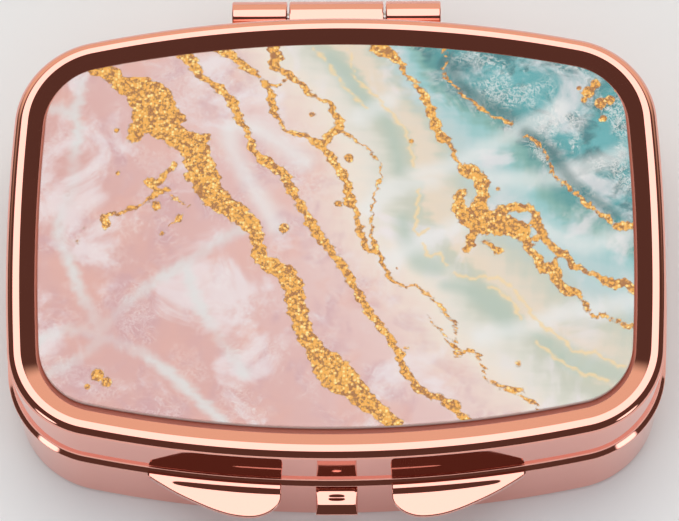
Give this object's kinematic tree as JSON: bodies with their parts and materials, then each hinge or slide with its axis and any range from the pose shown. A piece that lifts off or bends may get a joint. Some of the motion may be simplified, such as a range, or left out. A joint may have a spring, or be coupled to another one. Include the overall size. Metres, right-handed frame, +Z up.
{
  "type": "pill box",
  "caption": "Small hinged metal pill box with a push-button latch, thumb wings, an inner tray with compartments, a lid mirror and a framed decorative top panel.",
  "frame": {"origin": "centre of the flat underside", "axes": "+X along the hinge, +Y from the latch towards the hinge, +Z up from the underside through the lid"},
  "size_m": [0.056, 0.0472, 0.015],
  "materials": {
    "plated_metal": "polished copper-pink plating",
    "printed_panel": "gloss print with a veined pink, mint and gold pattern",
    "clear_cover": "clear resin",
    "adhesive_film": "matte film",
    "mirror_glass": "silvered glass",
    "tray_plastic": "satin moulded plastic",
    "bare_steel": "plain strip steel"
  },
  "bodies": {
    "base": {"base_shell": "plated_metal", "collar": "plated_metal", "tray": "tray_plastic", "base_leaf": "plated_metal", "hinge_pin": "bare_steel", "latch_guide": "bare_steel"},
    "lid": {"lid_shell": "plated_metal", "panel_film": "adhesive_film", "print_panel": "printed_panel", "clear_cover": "clear_cover", "mirror_film": "adhesive_film", "mirror": "mirror_glass", "keeper": "plated_metal", "lid_leaf": "plated_metal"},
    "latch": {"button": "plated_metal", "latch_slider": "bare_steel", "latch_spring": "bare_steel"}
  },
  "joints": [
    {"name": "lid_hinge", "type": "hinge", "parent": "base", "child": "lid", "pos_m": [0, 0.0229, 0.008], "axis": [-1, 0, 0], "range_deg": [0, 105]},
    {"name": "latch_press", "type": "slide", "parent": "base", "child": "latch", "axis": [0, 1, 0], "range_m": [0, 0.0008], "stiffness_N_per_m": 800}
  ]
}
